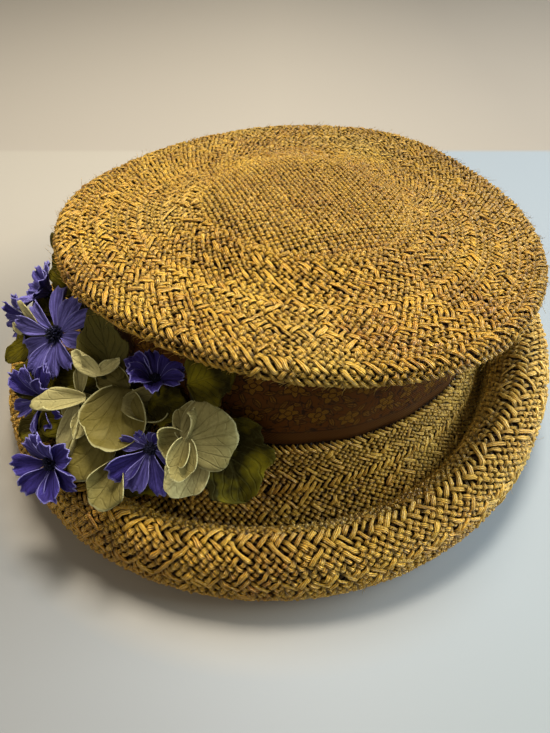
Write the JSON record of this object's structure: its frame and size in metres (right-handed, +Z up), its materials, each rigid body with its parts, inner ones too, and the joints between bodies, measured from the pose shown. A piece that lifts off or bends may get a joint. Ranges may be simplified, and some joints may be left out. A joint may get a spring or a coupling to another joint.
{
  "type": "straw hat",
  "caption": "Woven straw hat with a plate-like crown tip, low crown wall, rolled brim, floral ribbon band and a spray of cloth flowers and leaves",
  "frame": {"origin": "on the surface the hem rests on, under the middle of the hat's box", "axes": "+Z up through the crown, -Y the front, -X the side with the flowers"},
  "size_m": [0.266, 0.268, 0.1032],
  "materials": {
    "straw_tip": "woven natural straw, satin",
    "straw_wall": "woven natural straw, satin",
    "straw_brim": "woven natural straw, satin",
    "brocade": "thin floral brocade ribbon, slight sheen",
    "stem": "bound cloth-covered stems, matte",
    "blue_cloth": "dyed cloth petals, matte",
    "pale_cloth": "pale green cloth petals, matte",
    "velvet": "dark olive velvet"
  },
  "bodies": {
    "root": {"crown_tip": "straw_tip", "crown_wall": "straw_wall", "brim_slope": "straw_brim", "brim_rise": "straw_brim", "brim_roll": "straw_brim", "brocade_band": "brocade", "flower_stems": "stem", "blue_flower_1": "blue_cloth", "blue_flower_2": "blue_cloth", "blue_flower_3": "blue_cloth", "blue_flower_4": "blue_cloth", "blue_flower_5": "blue_cloth", "blue_flower_6": "blue_cloth", "blue_flower_7": "blue_cloth", "pale_flower_1": "pale_cloth", "pale_flower_2": "pale_cloth", "pale_flower_3": "pale_cloth", "pale_flower_4": "pale_cloth", "velvet_leaf_1": "velvet", "velvet_leaf_2": "velvet", "velvet_leaf_3": "velvet", "velvet_leaf_4": "velvet"}
  },
  "joints": []
}
